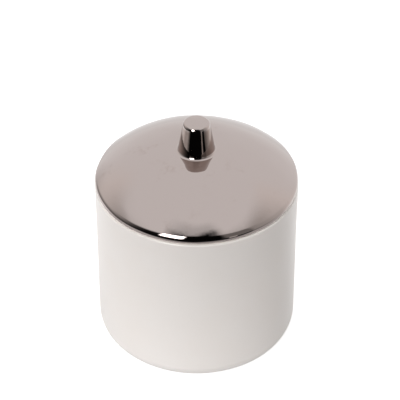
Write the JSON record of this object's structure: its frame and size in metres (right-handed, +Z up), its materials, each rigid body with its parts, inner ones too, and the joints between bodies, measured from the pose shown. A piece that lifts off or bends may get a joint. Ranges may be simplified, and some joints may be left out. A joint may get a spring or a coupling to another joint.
{
  "type": "lidded porcelain jar",
  "caption": "Straight-sided white porcelain jar with a rounded base and a loose domed, metallic-lustred lid with a tapered knob; the lid lifts off.",
  "frame": {"origin": "centre of the plane that the foot ring stands on", "axes": "+Z up along the jar's axis of revolution, from the foot ring to the knob; X and Y are horizontal and equivalent"},
  "size_m": [0.1, 0.1, 0.124],
  "materials": {
    "white_glaze": "white porcelain with a satin glaze; bare bisque on the foot ring",
    "metal_lustre": "porcelain with a mirror-like silvery metal lustre fired over the glaze",
    "white_underglaze": "plain white glaze, without lustre"
  },
  "bodies": {
    "jar": {"jar_body": "white_glaze"},
    "lid": {"lid_dome": "metal_lustre", "lid_ring": "white_underglaze", "lid_knob": "metal_lustre"}
  },
  "joints": [
    {"name": "lid_lift", "type": "slide", "parent": "jar", "child": "lid", "axis": [0, 0, 1], "range_m": [0, 0.05]}
  ]
}
